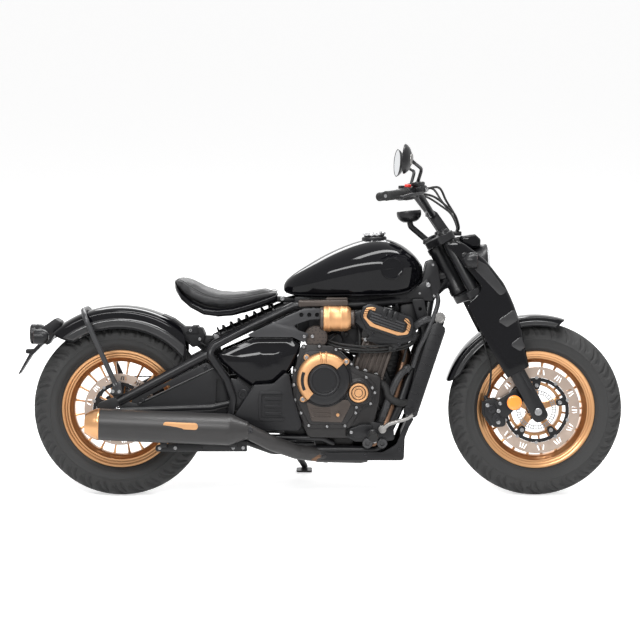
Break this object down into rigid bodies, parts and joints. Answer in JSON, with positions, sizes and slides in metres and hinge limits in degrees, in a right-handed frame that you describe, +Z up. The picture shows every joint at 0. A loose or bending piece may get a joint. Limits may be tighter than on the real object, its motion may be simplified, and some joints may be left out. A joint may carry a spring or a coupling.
{
  "type": "bobber motorcycle",
  "caption": "Low solo-seat bobber motorcycle with a parallel twin engine, rigid-look rear frame and shrouded fork, leaning on its side stand.",
  "frame": {"origin": "on the floor under the middle of the machine's bounding box, as it leans on its side stand", "axes": "+X towards the front wheel, +Y to the rider's left, +Z up from the floor"},
  "size_m": [2.222, 0.8776, 1.3266],
  "materials": {
    "frame_black": "satin black paint",
    "satin_grey": "dark grey satin casting",
    "gloss_black": "gloss black paint",
    "matte_black": "moulded matte black",
    "engine_black": "black wrinkle and satin coating",
    "bronze": "metallic bronze lacquer",
    "steel": "ground steel, warm tint",
    "chrome": "polished plating",
    "rubber": "matte rubber",
    "tyre_rubber": "new tyre, moulded sidewall",
    "seat_cover": "grained black cover with stitched seams",
    "header_brown": "heat-tinted pipe"
  },
  "bodies": {
    "frame": {"airbox": "matte_black", "belly_pan": "matte_black", "clutch_trim": "bronze", "crankcase": "engine_black", "cylinders": "engine_black", "drive_belt": "rubber", "exhaust_headers": "header_brown", "filler_cap": "chrome", "foot_control_left": "satin_grey", "foot_control_right": "satin_grey", "fuel_tank": "gloss_black", "head_cover_left": "engine_black", "head_cover_right": "engine_black", "intake_canister": "bronze", "main_frame": "frame_black", "mudguard_stay": "frame_black", "muffler": "matte_black", "muffler_end_cap": "bronze", "pivot_cover_left": "matte_black", "pivot_cover_right": "matte_black", "radiator": "matte_black", "rear_mudguard": "gloss_black", "seat_cushion": "seat_cover", "seat_pan": "gloss_black", "shock_absorber": "frame_black", "side_cover_left": "gloss_black", "side_cover_right": "gloss_black", "steering_head_cowl": "matte_black", "swingarm": "frame_black", "tail_lamp_unit": "matte_black"},
    "rear_wheel": {"rear_wheel": "bronze", "rear_tyre": "tyre_rubber", "rear_brake_disc": "steel", "rear_pulley": "satin_grey"},
    "front_end": {"front_fork": "matte_black", "fork_cover_left": "gloss_black", "fork_cover_right": "gloss_black", "front_mudguard": "gloss_black", "headlight": "matte_black", "handlebar": "matte_black", "instrument": "matte_black", "hand_control_left": "rubber", "hand_control_right": "rubber", "control_cables": "rubber"},
    "front_wheel": {"front_wheel": "bronze", "front_tyre": "tyre_rubber", "front_brake_disc": "steel"},
    "side_stand": {"side_stand": "frame_black"}
  },
  "joints": [
    {"name": "rear_wheel_spin", "type": "hinge", "parent": "frame", "child": "rear_wheel", "pos_m": [-0.73297, -0.12409, 0.31798], "axis": [0, 0.9877, -0.1564], "continuous": true},
    {"name": "steering", "type": "hinge", "parent": "frame", "child": "front_end", "pos_m": [0.7533, -0.12788, 0.29404], "axis": [-0.4695, 0.1381, 0.8721], "range_deg": [-35, 35]},
    {"name": "front_wheel_spin", "type": "hinge", "parent": "front_end", "child": "front_wheel", "pos_m": [0.79303, -0.12458, 0.31491], "axis": [0, 0.9877, -0.1564], "continuous": true},
    {"name": "side_stand_fold", "type": "hinge", "parent": "frame", "child": "side_stand", "pos_m": [-0.13297, 0.0146, 0.18363], "axis": [0, 0.8421, 0.5393], "range_deg": [0, 95]}
  ]
}
